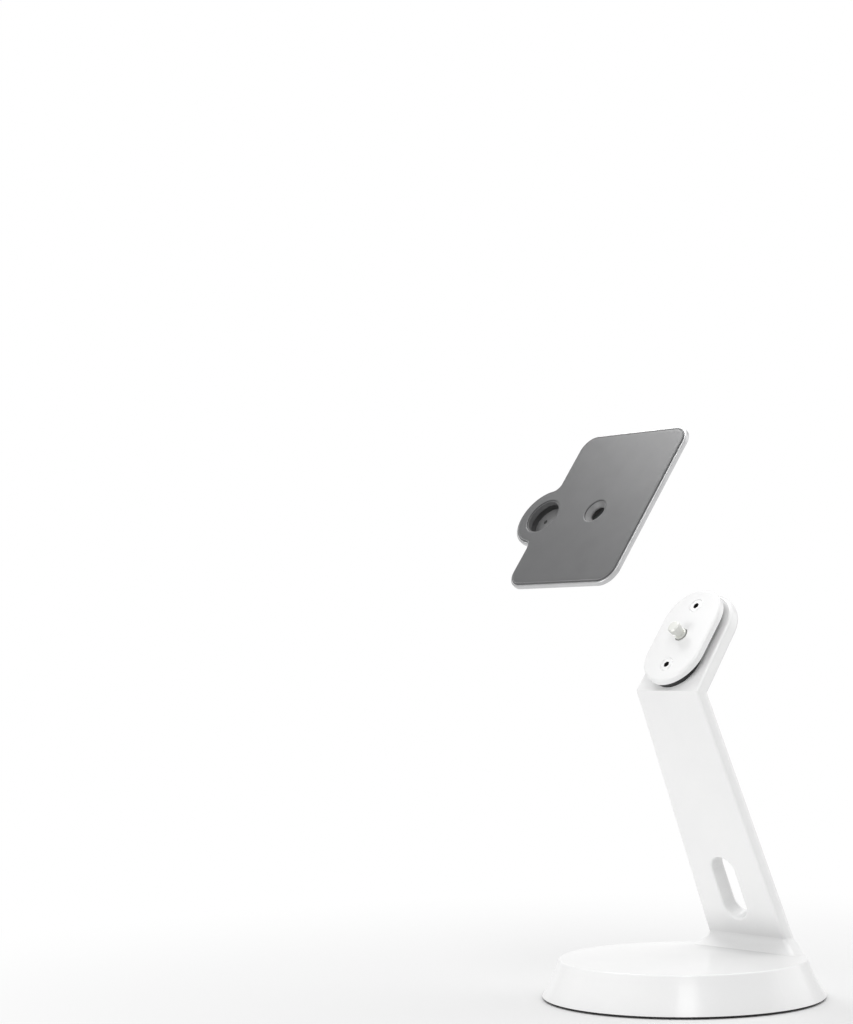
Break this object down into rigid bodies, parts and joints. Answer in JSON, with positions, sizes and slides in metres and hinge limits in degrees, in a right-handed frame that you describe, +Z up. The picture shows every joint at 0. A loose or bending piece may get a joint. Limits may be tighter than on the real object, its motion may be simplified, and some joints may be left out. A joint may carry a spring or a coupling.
{
  "type": "adhesive tablet mount",
  "caption": "Table mount for a tablet: a round weighted base, a leaning arm with a tilted head and locking stud, and an adhesive plate with a key lock that slides onto the stud.",
  "frame": {"origin": "centre of the base's underside, on the floor", "axes": "+Z up, -Y towards the user that the head faces, +X to the right seen along +Y"},
  "size_m": [0.1, 0.1067, 0.2006],
  "materials": {
    "white_paint": "satin",
    "plate_metal": "satin",
    "black_plastic": "matte",
    "foot_rubber": "matte",
    "adhesive_foam": "matte",
    "steel": "brushed",
    "nickel": "satin",
    "bearing_bronze": "machined",
    "dark_zinc": "satin"
  },
  "bodies": {
    "stand": {"base_pad": "foot_rubber", "base_plate": "steel", "base_weight": "steel", "base_cover": "white_paint", "base_screws": "steel", "arm_screws": "steel", "arm": "white_paint", "face_plate": "white_paint", "face_plate_screws": "nickel", "spacer_bushes": "steel", "face_spacer": "black_plastic", "stud_bush": "bearing_bronze", "stop_pin": "steel", "rear_cap": "white_paint"},
    "stud": {"locking_stud": "nickel", "friction_washer": "steel", "stop_washer": "steel", "spring_washer": "steel", "lock_nut": "steel"},
    "plate": {"adhesive_pad": "adhesive_foam", "plate_body": "plate_metal", "guide_bush": "dark_zinc", "well_liner": "dark_zinc", "lock_housing": "dark_zinc", "housing_screws": "steel"},
    "lock": {"lock_cylinder": "nickel", "lock_cam": "dark_zinc", "drive_pin": "steel"},
    "latch": {"latch_plate": "steel"}
  },
  "joints": [
    {"name": "stud_swivel", "type": "hinge", "parent": "stand", "child": "stud", "pos_m": [0, 0.0031, 0.12837], "axis": [0, -0.7986, 0.6018], "range_deg": [-90, 90]},
    {"name": "plate_pull", "type": "slide", "parent": "stud", "child": "plate", "axis": [0, -0.6647, 0.7471], "range_m": [-0.05212, 0]},
    {"name": "lock_turn", "type": "hinge", "parent": "plate", "child": "lock", "pos_m": [-0.0268, -0.03191, 0.16683], "axis": [0, -0.7986, 0.6018], "range_deg": [0, 90]},
    {"name": "latch_slide", "type": "slide", "parent": "plate", "child": "latch", "axis": [1, 0, 0], "range_m": [-0.00495, 0]}
  ],
  "couplings": [
    {"joint": "lock_turn", "follows": "latch_slide", "rad_per_m": -317.4}
  ]
}
